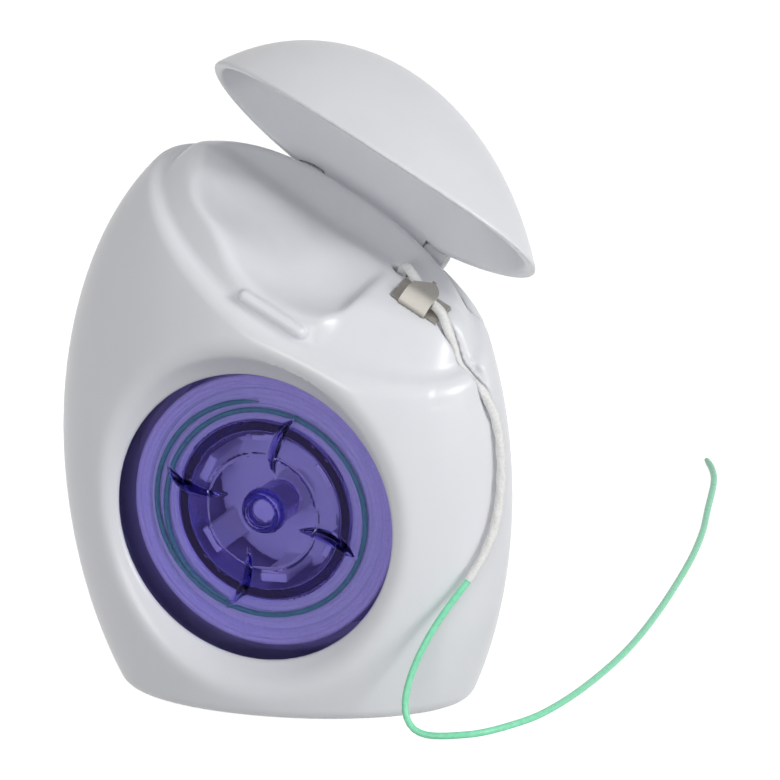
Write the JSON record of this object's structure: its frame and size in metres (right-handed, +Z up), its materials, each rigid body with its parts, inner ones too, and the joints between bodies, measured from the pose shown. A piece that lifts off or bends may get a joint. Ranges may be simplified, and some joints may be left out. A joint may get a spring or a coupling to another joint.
{
  "type": "dental floss dispenser",
  "caption": "Egg-shaped floss dispenser with an oblique flip lid over a steel cutter, a clear finger-turned spool behind a round window, and a free floss end with a stiff threader.",
  "frame": {"origin": "middle of the flat base, at the height of the surface it stands on", "axes": "+Z up, -Y out of the finger window (the front), +X to the right of someone who looks at the window"},
  "size_m": [0.06, 0.1107, 0.0759],
  "materials": {
    "white_plastic": "satin moulded polypropylene",
    "clear_purple": "clear tinted, polished",
    "steel": "stamped sheet, dull",
    "floss": "soft spun filaments",
    "threader": "stiffened filament, smooth"
  },
  "bodies": {
    "case": {"front_shell": "white_plastic", "rear_cover": "white_plastic", "cutter": "steel", "floss_feed": "floss", "floss_tail": "floss", "threader": "threader"},
    "lid": {"lid": "white_plastic"},
    "spool": {"spool_front": "clear_purple", "spool_back": "clear_purple", "floss_winding": "floss", "threader_turns": "threader"}
  },
  "joints": [
    {"name": "lid_hinge", "type": "hinge", "parent": "case", "child": "lid", "pos_m": [0.00768, 0.01008, 0.05447], "axis": [-0.8695, 0, 0.4939], "range_deg": [-61, 50]},
    {"name": "spool_spin", "type": "hinge", "parent": "case", "child": "spool", "pos_m": [0, 0, 0.0236], "axis": [0, 1, 0], "continuous": true}
  ]
}
